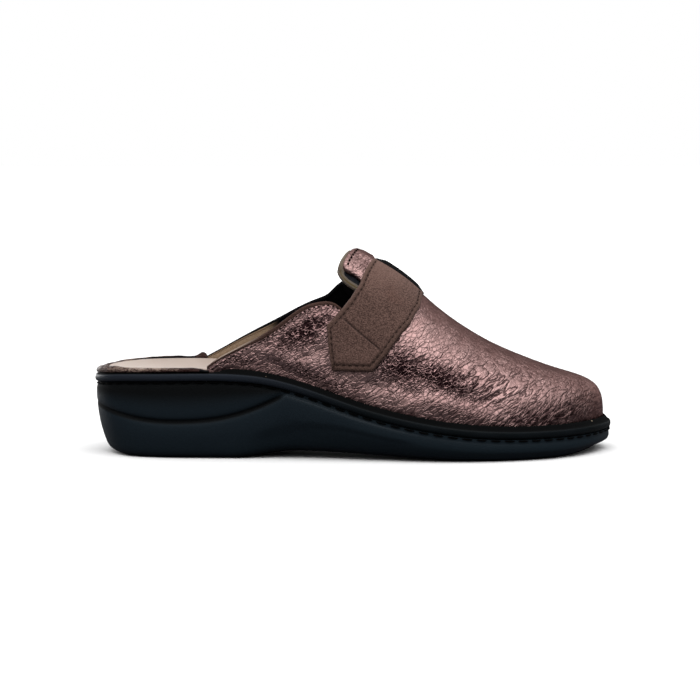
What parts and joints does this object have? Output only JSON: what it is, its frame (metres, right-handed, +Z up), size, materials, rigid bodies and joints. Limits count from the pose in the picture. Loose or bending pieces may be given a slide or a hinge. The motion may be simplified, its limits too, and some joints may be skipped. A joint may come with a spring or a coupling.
{
  "type": "house slipper",
  "caption": "Backless clog slipper for the right foot: hollow leather upper slit at the outer side, suede strap over the instep, footbed and black wedge sole with a welt band.",
  "frame": {"origin": "on the floor, under the middle of the sole's outline", "axes": "+X from heel to toe, +Y to the inner (medial) side of the right foot, +Z up"},
  "size_m": [0.258, 0.096, 0.101],
  "materials": {
    "black_polyurethane": "moulded polyurethane, satin black",
    "black_welt": "black band with a stitched groove, satin",
    "beige_leather": "smooth beige footbed leather, matt",
    "brown_binding_leather": "thin folded brown leather",
    "rose_brown_leather": "crinkled leather with a metallic rose-brown sheen",
    "tan_lining": "tan lining leather over padding, cut edge",
    "brown_suede": "brown suede, matt nap",
    "black_elastic": "black woven elastic"
  },
  "bodies": {
    "root": {"outsole": "black_polyurethane", "welt": "black_welt", "insole": "beige_leather", "heel_binding": "brown_binding_leather", "upper": "rose_brown_leather", "collar_binding_lateral": "brown_binding_leather", "collar_binding_medial": "brown_binding_leather", "tongue": "tan_lining", "strap": "brown_suede", "strap_elastic": "black_elastic"}
  },
  "joints": []
}
